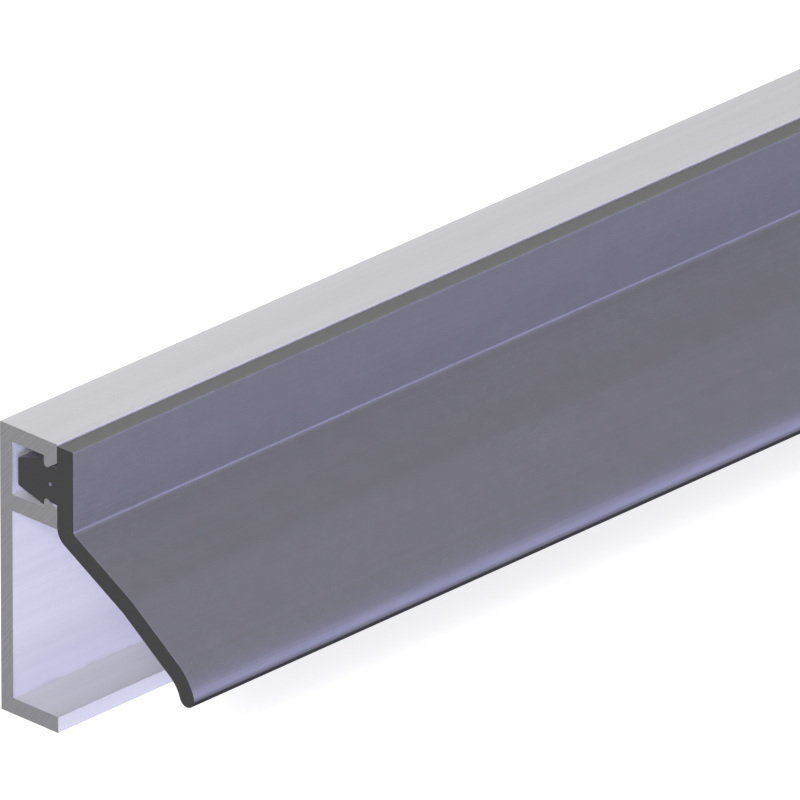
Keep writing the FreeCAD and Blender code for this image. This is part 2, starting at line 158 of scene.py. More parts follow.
class SealSettings(PropertyGroup):
    key_nose_gap: length("Nose Gap", "Back of the T-slot to the flat nose of the key", 0.00109)
    key_nose_height: length("Nose Height", "Flat nose of the key", 0.00384)
    barb_gap: length("Barb Gap", "Tip of each barb to the flange beside it", 0.0005)
    seat_clearance: length("Seat Clearance", "Rubber to the lips that it grips", 0.00005)
    neck_grip: length("Neck Grip", "Depth that each lip nose sits in the neck", 0.00031)
    leg_thickness: length("Leg", "Thickness of the leg on the carrier's front", 0.0028)
    top_setback: length("Top Setback", "Top of the leg below the carrier's top", 0.00022)
    bend_setback: length("Bend Setback", "Start of the bend above the middle flange's foot", 0.00037)
    blade_thickness: length("Blade", "Thickness of the blade", 0.00255)
    blade_droop: angle("Droop", "Upper run of the blade below the horizontal", 30.0)
    kink_turn: angle("Kink", "How much steeper the lower run is", 6.5)
    tip_turn: angle("Curl", "How much further the tip curls down", 36.0)
    back_bend_radius: length("Back Bend", "Bend below the leg, door side", 0.0025)
    front_bend_radius: length("Front Bend", "Bend below the leg, front side", 0.0008)
    kink_radius: length("Kink Radius", "Kink between the two runs, door side", 0.006)
    tip_radius: length("Curl Radius", "Curl of the tip, door side", 0.00476)
    upper_run: length("Upper Run", "Straight part of the upper run, door side", 0.01148)
    lower_run: length("Lower Run", "Straight part of the lower run, door side", 0.0098)
    corner_radius: length("Corners", "Rounding of the rubber's corners", 0.00012)
    cut_radius: length("Cut Edges", "Rounding of the knife-cut ends", 0.00005)
    skin: colour("Skin", "Extruded skin of the rubber", (0.104, 0.1035, 0.102))
    # The cut colour is near black, darker than the skin, as painted shade on the cut ends.
    cut: colour("Cut", "Knife-cut ends of the rubber", (0.0140, 0.0138, 0.0125))


class CordSettings(PropertyGroup):
    diameter: length("Diameter", "Cord that keeps the rubber from stretching", 0.00055)
    setback: length("Setback", "Middle of the cord behind the carrier's front", 0.0012)
    strands: IntProperty(name="Strands", description="Strands laid round the middle one", default=6,
                         min=3, max=9)
    glass: colour("Glass Fibre", "Fibres of the strands", (0.16, 0.16, 0.17))
    binder: colour("Binder", "Coating between the strands", (0.10, 0.10, 0.105))


class StageSettings(PropertyGroup):
    ambient: FloatProperty(name="Ambient", description="Strength of the even light from all round",
                           default=0.28, min=0.0, max=1.0, subtype="FACTOR")
    overhead_power: power("Overhead", "Soft lamp above the seal", 2.0)
    high_power: power("High", "Soft lamp in front, high on the left", 60.0)
    high_tint: colour("High Tint", "Tint of the overhead and the high lamp", (1.0, 0.98, 0.95))
    low_power: power("Low", "Soft lamp in front, low on the left", 57.0)
    front_power: power("Front", "Soft lamp in front, low on the right", 39.0)
    low_tint: colour("Low Tint", "Tint of the low and the front lamp", (0.48, 0.49, 1.0))
    floor: colour("Floor", "Plain pale floor", (0.45, 0.45, 0.45))


# Sections: closed outlines in (y, z), walked with the solid on the left

# A tip corner carries the way along which its painted shade is measured; a section point carries how
# much painted shade it gets.
Corner = namedtuple("Corner", "place radius side wiping", defaults=(None, None))
SectionPoint = namedtuple("SectionPoint", "place normal corner side wiped", defaults=(None, 0.0))


def turned(vector, radians):
    return vector @ Matrix.Rotation(-radians, 2)


def outward(direction):
    return Vector((direction.y, -direction.x))


def step_down(radians):
    """The unit step away from the door that is tipped down by this angle."""
    return Vector((-math.cos(radians), -math.sin(radians)))


def step_out(radians):
    """The unit step square to step_down, towards the front and the top."""
    return Vector((-math.sin(radians), math.cos(radians)))


def meeting_point(place, direction, other_place, other_direction):
    """Where two lines of a section cross."""
    gap = other_place - place
    across = direction.x * other_direction.y - direction.y * other_direction.x
    return place + direction * ((gap.x * other_direction.y - gap.y * other_direction.x) / across)


def arc_steps(radius, turn):
    step = 2 * math.acos(max(0.0, 1 - ARC_TOLERANCE / radius))
    return max(FEWEST_ARC_STEPS, math.ceil(abs(turn) / step))


def corner_arc(before, corner, after):
    """The points of one rounded corner, each with its exact normal."""
    arriving = (corner.place - before.place).normalized()
    leaving = (after.place - corner.place).normalized()
    turn = math.atan2(arriving.x * leaving.y - arriving.y * leaving.x, arriving.dot(leaving))
    bulge = math.copysign(1.0, turn)
    start = corner.place - arriving * (corner.radius * math.tan(abs(turn) / 2))
    centre = start - outward(arriving) * (bulge * corner.radius)
    sharp = abs(turn) > LEAST_WORN_TURN and corner.radius <= LARGEST_WORN_RADIUS
    steps = arc_steps(corner.radius, turn)
    points = []
    for step in range(steps + 1):
        normal = turned(outward(arriving), turn * step / steps)
        place = centre + normal * (bulge * corner.radius)
        wiped = 0.0
        # Painted shade on the blade's tip, rising as the normal faces along the blade.
        if corner.wiping is not None:
            wiped = min(1.0, max(0.0, (normal.dot(corner.wiping) - PAINTED_SHADE_FROM) / PAINTED_SHADE_FADE))
        points.append(SectionPoint(place, normal, bulge if sharp else 0.0, None, wiped))
    return points


def rounded_outline(corners):
    """A closed outline with rounded corners. Long sides get a point near each end, where wear fades."""
    arcs = [corner_arc(corners[i - 1], corners[i], corners[(i + 1) % len(corners)])
            for i in range(len(corners))]
    outline = []
    for i, arc in enumerate(arcs):
        following = arcs[(i + 1) % len(arcs)]
        run = following[0].place - arc[-1].place
        if run.length < SAME_PLACE:
            outline += arc[:-1]
            continue
        outline += arc
        if run.length > 3 * WORN_BAND:
            inset = run.normalized() * WORN_BAND
            normal = arc[-1].normal
            outline.append(SectionPoint(arc[-1].place + inset, normal, 0.0, corners[i].side))
            outline.append(SectionPoint(following[0].place - inset, normal, 0.0))
    return outline


def circle_outline(centre, radius, count, hollow=False):
    """A round section, or the round bore of one, which is walked the other way."""
    points = []
    for i in range(count):
        out = turned(Vector((1.0, 0.0)), 2 * math.pi * i / count * (-1 if hollow else 1))
        points.append(SectionPoint(centre + out * radius, -out if hollow else out, 0.0))
    return points


def key_line(carrier):
    """Height of the T-slot's middle line, on which the key and the cord lie."""
    return CARRIER_TOP - carrier.flange_thickness - carrier.slot_height / 2


def cord_centre(carrier, cord):
    """Where the cord runs through the middle of the rubber's neck."""
    return Vector((cord.setback - CARRIER_DEPTH, key_line(carrier)))


def lip_slope(carrier, side, clearance):
    """A point on the slope of a lip, or of the rubber this far off it, and the way it runs outwards."""
    nose = Vector((carrier.lip_thickness - CARRIER_DEPTH - carrier.nose_radius,
                   key_line(carrier) + side * (carrier.mouth_height / 2 + carrier.nose_radius)))
    square = Vector((-math.sin(carrier.lead_in), -side * math.cos(carrier.lead_in)))
    return (nose + square * (carrier.nose_radius + clearance),
            Vector((-math.cos(carrier.lead_in), side * math.sin(carrier.lead_in))))


def carrier_outline(carrier):
    front = -CARRIER_DEPTH
    lip_inside = front + carrier.lip_thickness
    wall_front = -carrier.wall_thickness
    slot_top = CARRIER_TOP - carrier.flange_thickness
    slot_foot = slot_top - carrier.slot_height
    channel_top = slot_foot - carrier.flange_thickness
    channel_foot = CARRIER_FOOT + carrier.flange_thickness
    upright = Vector((0.0, 1.0))
    front_line, lip_line = Vector((front, 0.0)), Vector((lip_inside, 0.0))
    upper_lip, lower_lip = lip_slope(carrier, 1, 0.0), lip_slope(carrier, -1, 0.0)
    outer, inner, nose = carrier.corner_radius, carrier.root_radius, carrier.nose_radius
    return rounded_outline([
        Corner(Vector((0.0, CARRIER_TOP)), outer),
        Corner(Vector((front, CARRIER_TOP)), outer),
        Corner(meeting_point(*upper_lip, front_line, upright), outer),
        Corner(meeting_point(*upper_lip, lip_line, upright), nose),
        Corner(Vector((lip_inside, slot_top)), inner),
        Corner(Vector((wall_front, slot_top)), inner),
        Corner(Vector((wall_front, slot_foot)), inner),
        Corner(Vector((lip_inside, slot_foot)), inner),
        Corner(meeting_point(*lower_lip, lip_line, upright), nose),
        Corner(meeting_point(*lower_lip, front_line, upright), outer),
        Corner(Vector((front, channel_top)), outer),
        Corner(Vector((wall_front, channel_top)), inner, "channel_back"),
        Corner(Vector((wall_front, channel_foot)), inner),
        Corner(Vector((front, channel_foot)), outer),
        Corner(Vector((front, CARRIER_FOOT)), outer),
        Corner(Vector((0.0, CARRIER_FOOT)), outer, "door_face"),
    ])


def blade_corners(carrier, seal):
    """The corners of the blade: its front side downwards, then its door side upwards."""
    leg_back = -CARRIER_DEPTH
    leg_front = leg_back - seal.leg_thickness
    thickness = seal.blade_thickness
    upper = seal.blade_droop
    lower = upper + seal.kink_turn
    tip = lower + seal.tip_turn
    bend_height = (key_line(carrier) - carrier.slot_height / 2 - carrier.flange_thickness
                   + seal.bend_setback)
    bend_reach = seal.back_bend_radius * math.tan((math.pi / 2 - upper) / 2)
    kink_reach = seal.kink_radius * math.tan(seal.kink_turn / 2)
    curl_reach = seal.tip_radius * math.tan(seal.tip_turn / 2)

    bend = Vector((leg_back, bend_height - bend_reach))
    kink = bend + step_down(upper) * (bend_reach + seal.upper_run + kink_reach)
    curl = kink + step_down(lower) * (kink_reach + seal.lower_run + curl_reach)
    end = curl + step_down(tip) * (curl_reach + thickness / 2)

    upper_line = (kink + step_out(upper) * thickness, step_down(upper))
    lower_line = (kink + step_out(lower) * thickness, step_down(lower))
    tip_line = (end + step_out(tip) * thickness, step_down(tip))
    leg_line = (Vector((leg_front, 0.0)), Vector((0.0, 1.0)))
    return [
        Corner(meeting_point(*leg_line, *upper_line), seal.front_bend_radius),
        Corner(meeting_point(*upper_line, *lower_line), seal.kink_radius + thickness),
        Corner(meeting_point(*lower_line, *tip_line), seal.tip_radius + thickness),
        # Both roundings of the tip carry the painted shade on its underside.
        Corner(tip_line[0], thickness / 2, wiping=step_down(tip)),
        Corner(end, thickness / 2, wiping=step_down(tip)),
        Corner(curl, seal.tip_radius),
        Corner(kink, seal.kink_radius),
        Corner(bend, seal.back_bend_radius),
    ]


def seal_outline(carrier, seal):
    middle = key_line(carrier)
    nose_y = -(carrier.wall_thickness + seal.key_nose_gap)
    nose_half = seal.key_nose_height / 2
    shoulder_y = carrier.lip_thickness + seal.seat_clearance - CARRIER_DEPTH
    barb_half = carrier.slot_height / 2 - seal.barb_gap
    neck_half = carrier.mouth_height / 2 + seal.neck_grip
    recess = carrier.nose_radius + seal.seat_clearance
    leg_back = -CARRIER_DEPTH
    leg_front = leg_back - seal.leg_thickness
    leg_top = CARRIER_TOP - seal.top_setback
    soft = seal.corner_radius
    upright, flat = Vector((0.0, 1.0)), Vector((1.0, 0.0))

    def neck(side):
        """The barb's tip, the recess round the lip nose and the neck's side, from the key outwards."""
        slope = lip_slope(carrier, side, seal.seat_clearance)
        height = middle + side * neck_half
        return [
            Corner(Vector((nose_y, middle + side * nose_half)), 2 * soft),
            Corner(Vector((shoulder_y, middle + side * barb_half)), soft),
            Corner(meeting_point(*slope, Vector((shoulder_y, 0.0)), upright), recess),
            Corner(meeting_point(*slope, Vector((0.0, height)), flat), soft),
            Corner(Vector((leg_back, height)), soft),
        ]

    return rounded_outline(
        neck(1)
        + [Corner(Vector((leg_back, leg_top)), soft), Corner(Vector((leg_front, leg_top)), soft)]
        + blade_corners(carrier, seal)
        + neck(-1)[::-1])


# Meshes: every vertex carries its exact normal, so that flats stay flat and roundings stay smooth

class MeshParts:
    """The vertices, normals and faces of one piece while it is being built."""

    def __init__(self):
        self.places = []
        self.normals = []
        self.marks = {"corner": [], "wiped": []}
        self.faces = []
        self.finishes = []

    def vertex(self, place, normal, corner=0.0, wiped=0.0):
        self.places.append(Vector(place))
        self.normals.append(Vector(normal).normalized())
        self.marks["corner"].append(corner)
        self.marks["wiped"].append(wiped)
        return len(self.places) - 1

    def face(self, vertices, finish=0):
        self.faces.append(tuple(vertices))
        self.finishes.append(finish)

    def band(self, lower, upper, finish=0, skip=()):
        """Joins two rings of vertices. The faces look along a ring's way crossed with the step."""
        for i in range(len(lower)):
            if i not in skip:
                j = (i + 1) % len(lower)
                self.face((lower[i], lower[j], upper[j], upper[i]), finish)

    def fill(self, loops, facing, finish=0):
        """Fills a flat face that may have holes in it."""
        flat = [vertex for loop in loops for vertex in loop]
        triangles = tessellate_polygon([[self.places[vertex] for vertex in loop] for loop in loops])
        turn = 0.0
        for a, b, c in triangles:
            first, second, third = (self.places[flat[corner]] for corner in (a, b, c))
            turn += (second - first).cross(third - first).dot(facing)
        for a, b, c in triangles:
            self.face((flat[a], flat[b], flat[c]) if turn > 0 else (flat[a], flat[c], flat[b]), finish)

    def make_object(self, name, materials):
        mesh = bpy.data.meshes.new(name)
        mesh.from_pydata(self.places, [], self.faces)
        if mesh.validate():
            raise RuntimeError(f"{name} has faces that don't join up")
        mesh.polygons.foreach_set("material_index", self.finishes)
        mesh.polygons.foreach_set("use_smooth", [True] * len(mesh.polygons))
        mesh.normals_split_custom_set_from_vertices(self.normals)
        for mark, values in self.marks.items():
            if any(values):
                mesh.attributes.new(mark, "FLOAT", "POINT").data.foreach_set("value", values)
        for material in materials:
            arrange(material.node_tree)
            mesh.materials.append(material)
        piece = bpy.data.objects.new(name, mesh)
        bpy.context.scene.collection.objects.link(piece)
        return piece


Station = namedtuple("Station", "x inset lean worn")


def cut_stations(half_length, cut_radius):
    """Where rings are drawn along a length: at a rim that keeps wear off the cut face, finely round
    each cut edge, and where its wear has faded."""
    rounded = [Station(half_length, cut_radius + CUT_RIM, math.pi / 2, None)]
    for step in range(CUT_EDGE_STEPS + 1):
        lean = math.pi / 2 * (1 - step / CUT_EDGE_STEPS)
        x = half_length - cut_radius + cut_radius * math.sin(lean)
        rounded.append(Station(x, cut_radius * (1 - math.cos(lean)), lean, 1.0))
    rounded.append(Station(half_length - cut_radius - WORN_BAND, 0.0, 0.0, 0.0))
    left = [Station(-station.x, station.inset, -station.lean, station.worn) for station in rounded]
    return left + rounded[::-1]


def add_rings(parts, outline, stations):
    rings = []
    for station in stations:
        ring = []
        for point in outline:
            place = point.place - point.normal * station.inset
            normal = point.normal * math.cos(station.lean)
            corner = 0.0
            if station.worn is not None:
                corner = max(point.corner, station.worn) if point.corner >= 0 else point.corner
            ring.append(parts.vertex((station.x, place.x, place.y),
                                     (math.sin(station.lean), normal.x, normal.y), corner, point.wiped))
        rings.append(ring)
    return rings


def extrude(parts, outlines, stations, pierced=(), skin=0, cut=1):
    """Runs a section along the stations and closes both ends. A pierced side is left open between its
    innermost rings and returned as the four corners of each gap."""
    every_ring = [add_rings(parts, outline, stations) for outline in outlines]
    middle = len(stations) // 2 - 1
    gaps = {}
    for outline, rings in zip(outlines, every_ring):
        for i in range(len(stations) - 1):
            skip = []
            if i == middle:
                skip = [k for k, point in enumerate(outline) if point.side in pierced]
                for k in skip:
                    j = (k + 1) % len(outline)
                    near, far = rings[i], rings[i + 1]
                    gaps[outline[k].side] = (near[k], near[j], far[j], far[k])
            bare = stations[i].inset or stations[i + 1].inset
            parts.band(rings[i], rings[i + 1], cut if bare else skin, skip)
    parts.fill([rings[0] for rings in every_ring], Vector((-1, 0, 0)), cut)
    parts.fill([rings[-1] for rings in every_ring], Vector((1, 0, 0)), cut)
    return gaps


def slot_ring(parts, middle, reach, radius, y, facing, lean):
    """One ring round a slotted hole; lean turns its normal from the wall's face into the hole."""
    ring = []
    steps = arc_steps(radius, math.pi)
    for end in (1, -1):
        for step in range(steps + 1):
            turn = math.pi * step / steps - math.pi / 2
            out = Vector((end * math.cos(turn), 0.0, end * math.sin(turn)))
            place = middle + Vector((end * reach, 0.0, 0.0)) + out * radius
            ring.append(parts.vertex((place.x, y, place.z),
                                     facing * math.cos(lean) - out * math.sin(lean),
                                     1.0 if 0 < lean < math.pi / 2 else 0.0))
    return ring


def pierce_wall(parts, gaps, carrier):
    """Cuts the row of slotted screw holes through the carrier's back wall."""
    radius = carrier.hole_width / 2
    reach = carrier.hole_length / 2 - radius
    # The holes lie at half the height of the fixing channel, below the T-slot.
    middle_z = -(carrier.flange_thickness + carrier.slot_height) / 2
    first = HALF_LENGTH - carrier.hole_end_distance
    mouths = {"door_face": [], "channel_back": []}
    for number in range(carrier.hole_count):
        x = -first + 2 * first * number / (carrier.hole_count - 1)
        middle = Vector((x, 0.0, middle_z))
        rings = []
        for side, y, facing in (("door_face", 0.0, Vector((0, 1, 0))),
                                ("channel_back", -carrier.wall_thickness, Vector((0, -1, 0)))):
            edge = []
            for step in range(CUT_EDGE_STEPS + 1):
                lean = math.pi / 2 * step / CUT_EDGE_STEPS
                spread = carrier.cut_radius * (1 - math.sin(lean))
                depth = carrier.cut_radius * (1 - math.cos(lean))
                edge.append(slot_ring(parts, middle, reach, radius + spread, y - facing.y * depth,
                                      facing, lean))
            mouths[side].append(edge[0])
            rings.append(edge)
        order = rings[0] + rings[1][::-1]
        for near, far in zip(order, order[1:]):
            parts.band(near[::-1], far[::-1])
    parts.fill([gaps["door_face"]] + mouths["door_face"], Vector((0, 1, 0)))
    parts.fill([gaps["channel_back"]] + mouths["channel_back"], Vector((0, -1, 0)))


def check_closed(parts, name):
    """Every edge has to be shared by exactly two faces that run along it in opposite ways."""
    edges = set()
    for face in parts.faces:
        for a, b in zip(face, face[1:] + face[:1]):
            if (a, b) in edges:
                raise RuntimeError(f"{name} has an edge that two faces run along the same way")
            edges.add((a, b))
    if any((b, a) not in edges for a, b in edges):
        raise RuntimeError(f"{name} has an open edge")


def add_strand(parts, path, radius, sides, finish):
    """A tube along a path of places, each given as x, centre, share of the radius, and lean."""
    rings = []
    for x, centre, share, lean in path:
        outline = circle_outline(centre, radius * share, sides)
        rings.append([parts.vertex((x, point.place.x, point.place.y),
                                   (math.sin(lean), point.normal.x * math.cos(lean),
                                    point.normal.y * math.cos(lean))) for point in outline])
    for lower, upper in zip(rings, rings[1:]):
        parts.band(lower, upper, finish)
    parts.fill([rings[0]], Vector((-1, 0, 0)), finish)
    parts.fill([rings[-1]], Vector((1, 0, 0)), finish)


# Materials

NODE_SPACING = (220, 260)
MILLIMETRES_PER_METRE = (1000.0, 1000.0, 1000.0)
# Where the sockets for two colours and for their mixture stand on a Mix node.
MIX_FIRST, MIX_SECOND, MIXED = 6, 7, 2

# The points that the saw and the knife swept round, in millimetres from the middle of the seal.
SAW_CENTRE = (70.0, -150.0, -120.0)
KNIFE_CENTRE = (0.0, 260.0, 420.0)

DUST_ON_METAL = (0.34, 0.33, 0.32, 1.0)
DUST_ON_RUBBER = (0.26, 0.255, 0.25, 1.0)


def empty_tree(owner):
    """The node tree of a material or of the world, with nothing in it."""
    owner.use_nodes = True
    owner.node_tree.nodes.clear()
    return owner.node_tree


def add_node(tree, kind, settings=None, inputs=None):
    """Makes a node, with its settings and the sockets that stay constant."""
    node = tree.nodes.new(kind)
    for name, value in (settings or {}).items():
        setattr(node, name, value)
    for name, value in (inputs or {}).items():
        node.inputs[name].default_value = value
    return node


def join(tree, start, end):
    tree.links.new(start, end)


def feed(tree, value, socket):
    """Joins one socket to another, or sets it where the value is a plain number or colour."""
    if isinstance(value, bpy.types.NodeSocket):
        join(tree, value, socket)
    else:
        socket.default_value = value


def arrange(tree):
    """Sets the nodes out in columns, each node to the left of all that it feeds."""
    steps = {node.name: 0 for node in tree.nodes}
    for _ in tree.nodes:
        for link in tree.links:
            start, end = link.from_node.name, link.to_node.name
            steps[start] = max(steps[start], steps[end] + 1)
    rows = {}
    for node in tree.nodes:
        step = steps[node.name]
        row = rows.get(step, 0)
        node.location = (-step * NODE_SPACING[0], -row * NODE_SPACING[1])
        rows[step] = row + 1


def add_range(tree, source, low, high, to_low, to_high):
    """Maps a value from one range to another, and clamps it."""
    node = add_node(tree, "ShaderNodeMapRange", {"clamp": True}, {
        "From Min": low, "From Max": high, "To Min": to_low, "To Max": to_high})
    join(tree, source, node.inputs["Value"])
    return node.outputs["Result"]


def add_mask(tree, source, none, full):
    """A mask that rises from 0, where the source has one value, to 1, where it has the other."""
    return add_range(tree, source, none, full, 0.0, 1.0)


def from_mask(tree, mask, at_none, at_full):
    """A value that follows a mask from one end of a range to the other."""
    return add_range(tree, mask, 0.0, 1.0, at_none, at_full)


def add_math(tree, operation, *values):
    """Adds, multiplies and so on; each value is a socket or a number."""
    node = add_node(tree, "ShaderNodeMath", {"operation": operation})
    for value, socket in zip(values, node.inputs):
        feed(tree, value, socket)
    return node.outputs["Value"]


def add_shares(tree, value, *shares):
    """Adds masks to a value, each with its own weight."""
    for mask, weight in shares:
        value = add_math(tree, "MULTIPLY_ADD", mask, weight, value)
    return value


def add_mix(tree, mask, first, second):
    """Mixes two colours by a mask."""
    node = add_node(tree, "ShaderNodeMix", {"data_type": "RGBA"})
    join(tree, mask, node.inputs["Factor"])
    feed(tree, first, node.inputs[MIX_FIRST])
    feed(tree, second, node.inputs[MIX_SECOND])
    return node.outputs[MIXED]


def add_layers(tree, colour_below, *layers):
    """Lays colours over one another. Each has its mask, the most that it covers, and its colour."""
    for mask, cover, layer_colour in layers:
        colour_below = add_mix(tree, from_mask(tree, mask, 0.0, cover), colour_below, layer_colour)
    return colour_below


def add_stretch(tree, source, factors):
    """Stretches a position, so that what follows it is drawn out or squeezed."""
    node = add_node(tree, "ShaderNodeVectorMath", {"operation": "MULTIPLY"})
    join(tree, source, node.inputs[0])
    node.inputs[1].default_value = factors
    return node.outputs["Vector"]


def add_noise(tree, source, scale, detail, roughness=0.5, distortion=0.0):
    node = add_node(tree, "ShaderNodeTexNoise", None, {
        "Detail": detail, "Roughness": roughness, "Distortion": distortion})
    join(tree, source, node.inputs["Vector"])
    feed(tree, scale, node.inputs["Scale"])
    return node.outputs["Fac"]


def mark_on_mesh(tree, name):
    """One of the marks that the vertices carry."""
    return add_node(tree, "ShaderNodeAttribute", {"attribute_name": name}).outputs["Fac"]


def new_group(name, inputs, outputs):
    """An empty node group for a surface's position in millimetres and other named inputs, which puts
    out named masks."""
    tree = bpy.data.node_groups.new(name, "ShaderNodeTree")
    for label, kind, default in [("Position", "NodeSocketVector", (0.0, 0.0, 0.0))] + inputs:
        socket = tree.interface.new_socket(label, in_out="INPUT", socket_type=kind)
        socket.default_value = default
    for label in outputs:
        tree.interface.new_socket(label, in_out="OUTPUT", socket_type="NodeSocketFloat")
    entry = add_node(tree, "NodeGroupInput")
    result = add_node(tree, "NodeGroupOutput")
    return tree, entry.outputs, result.inputs


def extrusion_lines(name):
    """Fine lines and broader streaks that a die leaves along the length."""
    tree, entry, result = new_group(
        name, [("Lines per mm", "NodeSocketFloat", 4.0)], ["Lines", "Streaks"])
    drawn_out = add_stretch(tree, entry["Position"], (0.006, 1.0, 1.0))
    lines = add_noise(tree, drawn_out, entry["Lines per mm"], 3.0, 0.65)
    streaks_per_mm = add_math(tree, "MULTIPLY", entry["Lines per mm"], 0.12)
    streaks = add_noise(tree, drawn_out, streaks_per_mm, 2.0)
    join(tree, add_mask(tree, lines, 0.3, 0.7), result["Lines"])
    join(tree, add_mask(tree, streaks, 0.35, 0.65), result["Streaks"])
    return tree


def cut_marks(name):
    """The arcs that a saw or a knife leaves on a cut end, all round one centre, and its chatter."""
    tree, entry, result = new_group(
        name, [("Marks per mm", "NodeSocketFloat", 3.0), ("Centre", "NodeSocketVector", SAW_CENTRE)],
        ["Marks", "Chatter"])
    section = add_stretch(tree, entry["Position"], (0.0, 1.0, 1.0))
    reach = add_node(tree, "ShaderNodeVectorMath", {"operation": "DISTANCE"})
    join(tree, section, reach.inputs[0])
    join(tree, entry["Centre"], reach.inputs[1])
    place = add_math(tree, "MULTIPLY", reach.outputs["Value"], entry["Marks per mm"])
    marks = add_node(tree, "ShaderNodeTexNoise", {"noise_dimensions": "1D"},
                     {"Scale": 1.0, "Detail": 3.0, "Roughness": 0.7})
    join(tree, place, marks.inputs["W"])
    chatter = add_noise(tree, section, 0.45, 2.0)
    join(tree, add_mask(tree, marks.outputs["Fac"], 0.3, 0.7), result["Marks"])
    join(tree, add_mask(tree, chatter, 0.35, 0.65), result["Chatter"])
    return tree


def handling_marks(name):
    """Short fine scratches and soft smudges from storing, fitting and touching a piece."""
    tree, entry, result = new_group(name, [], ["Scratches", "Smudges"])
    hairs = []
    for turn, stretch in (((0.35, 0.5, 0.3), (0.22, 5.0, 5.0)),
                          ((-0.2, 0.25, -0.45), (0.3, 6.0, 6.0))):
        rotate = add_node(tree, "ShaderNodeMapping", None, {"Rotation": turn})
        join(tree, entry["Position"], rotate.inputs["Vector"])
        drawn_out = add_stretch(tree, rotate.outputs["Vector"], stretch)
        hairs.append(add_mask(tree, add_noise(tree, drawn_out, 1.0, 0.0), 0.70, 0.78))
    patches = add_mask(tree, add_noise(tree, entry["Position"], 0.06, 1.0), 0.45, 0.6)
    scratches = add_math(tree, "MULTIPLY", add_math(tree, "MAXIMUM", *hairs), patches)
    smudges = add_noise(tree, entry["Position"], 0.09, 4.0, 0.6, 0.8)
    join(tree, scratches, result["Scratches"])
    join(tree, add_mask(tree, smudges, 0.42, 0.66), result["Smudges"])
    return tree


def corner_wear(name):
    """Rubbed outer corners and dust settled in inner ones, broken up along the length."""
    tree, entry, result = new_group(name, [], ["Worn", "Settled"])
    corner = mark_on_mesh(tree, "corner")
    rubbed = add_noise(tree, entry["Position"], 0.55, 4.0, 0.7)
    dusty = add_noise(tree, entry["Position"], 0.3, 3.0, 0.6)
    worn = add_math(tree, "MULTIPLY", add_mask(tree, corner, 0.15, 1.0),
                    add_range(tree, rubbed, 0.36, 0.62, 0.15, 1.0))
    settled = add_math(tree, "MULTIPLY", add_mask(tree, corner, -0.1, -1.0),
                       add_range(tree, dusty, 0.4, 0.62, 0.2, 1.0))
    join(tree, worn, result["Worn"])
    join(tree, settled, result["Settled"])
    return tree


EFFECTS = {
    "Extrusion Lines": extrusion_lines,
    "Cut Marks": cut_marks,
    "Handling Marks": handling_marks,
    "Corner Wear": corner_wear,
}


def add_effect(tree, name, position, inputs=None):
    """Places an effect that the materials share. It is built when the first of them asks for it."""
    group = bpy.data.node_groups.get(name)
    if group is None:
        group = EFFECTS[name](name)
        arrange(group)
    node = add_node(tree, "ShaderNodeGroup", {"node_tree": group}, inputs)
    join(tree, position, node.inputs["Position"])
    return node.outputs


def new_material(name, viewport_colour):
    """A material with its shader, and the surface's position in millimetres."""
    material = bpy.data.materials.new(name)
    material.diffuse_color = (*viewport_colour, 1.0)
    tree = empty_tree(material)
    output = add_node(tree, "ShaderNodeOutputMaterial")
    shader = add_node(tree, "ShaderNodeBsdfPrincipled")
    join(tree, shader.outputs["BSDF"], output.inputs["Surface"])
    place = add_node(tree, "ShaderNodeTexCoord")
    position = add_stretch(tree, place.outputs["Object"], MILLIMETRES_PER_METRE)
    return material, tree, shader.inputs, position


def add_bump(tree, height, depth, shader):
    """Turns a height mask into relief this many metres deep."""
    bump = add_node(tree, "ShaderNodeBump", None, {"Strength": 1.0, "Distance": depth})
    join(tree, height, bump.inputs["Height"])
    join(tree, bump.outputs["Normal"], shader["Normal"])


def scaled(base, factor):
    """A paler or darker colour of the same hue."""
    return (*(min(1.0, channel * factor) for channel in base), 1.0)


def anodised_aluminium(base):
    """Satin anodised extrusion: die lines along the length, faint streaks, rubbed corners."""
    material, tree, shader, position = new_material("anodised_aluminium", base)
    die = add_effect(tree, "Extrusion Lines", position, {"Lines per mm": 3.2})
    handling = add_effect(tree, "Handling Marks", position)
    wear = add_effect(tree, "Corner Wear", position)
    etched = add_noise(tree, position, 9.0, 3.0, 0.6)

    streaked = add_mix(tree, die["Streaks"], scaled(base, 0.955), scaled(base, 1.03))
    skin = add_layers(tree, streaked,
                      (die["Lines"], 0.30, scaled(base, 0.90)),
                      (handling["Scratches"], 0.35, scaled(base, 1.15)),
                      (wear["Worn"], 0.50, scaled(base, 1.08)),
                      (wear["Settled"], 0.35, DUST_ON_METAL))
    satin = from_mask(tree, die["Lines"], 0.33, 0.39)
    rough = add_shares(tree, satin, (handling["Smudges"], 0.05), (wear["Worn"], 0.12))
    relief = add_shares(tree, die["Lines"], (etched, 0.35), (handling["Scratches"], -0.6))

    join(tree, skin, shader["Base Color"])
    join(tree, from_mask(tree, wear["Worn"], 0.22, 0.6), shader["Metallic"])
    join(tree, rough, shader["Roughness"])
    add_bump(tree, relief, 0.000006, shader)
    return material


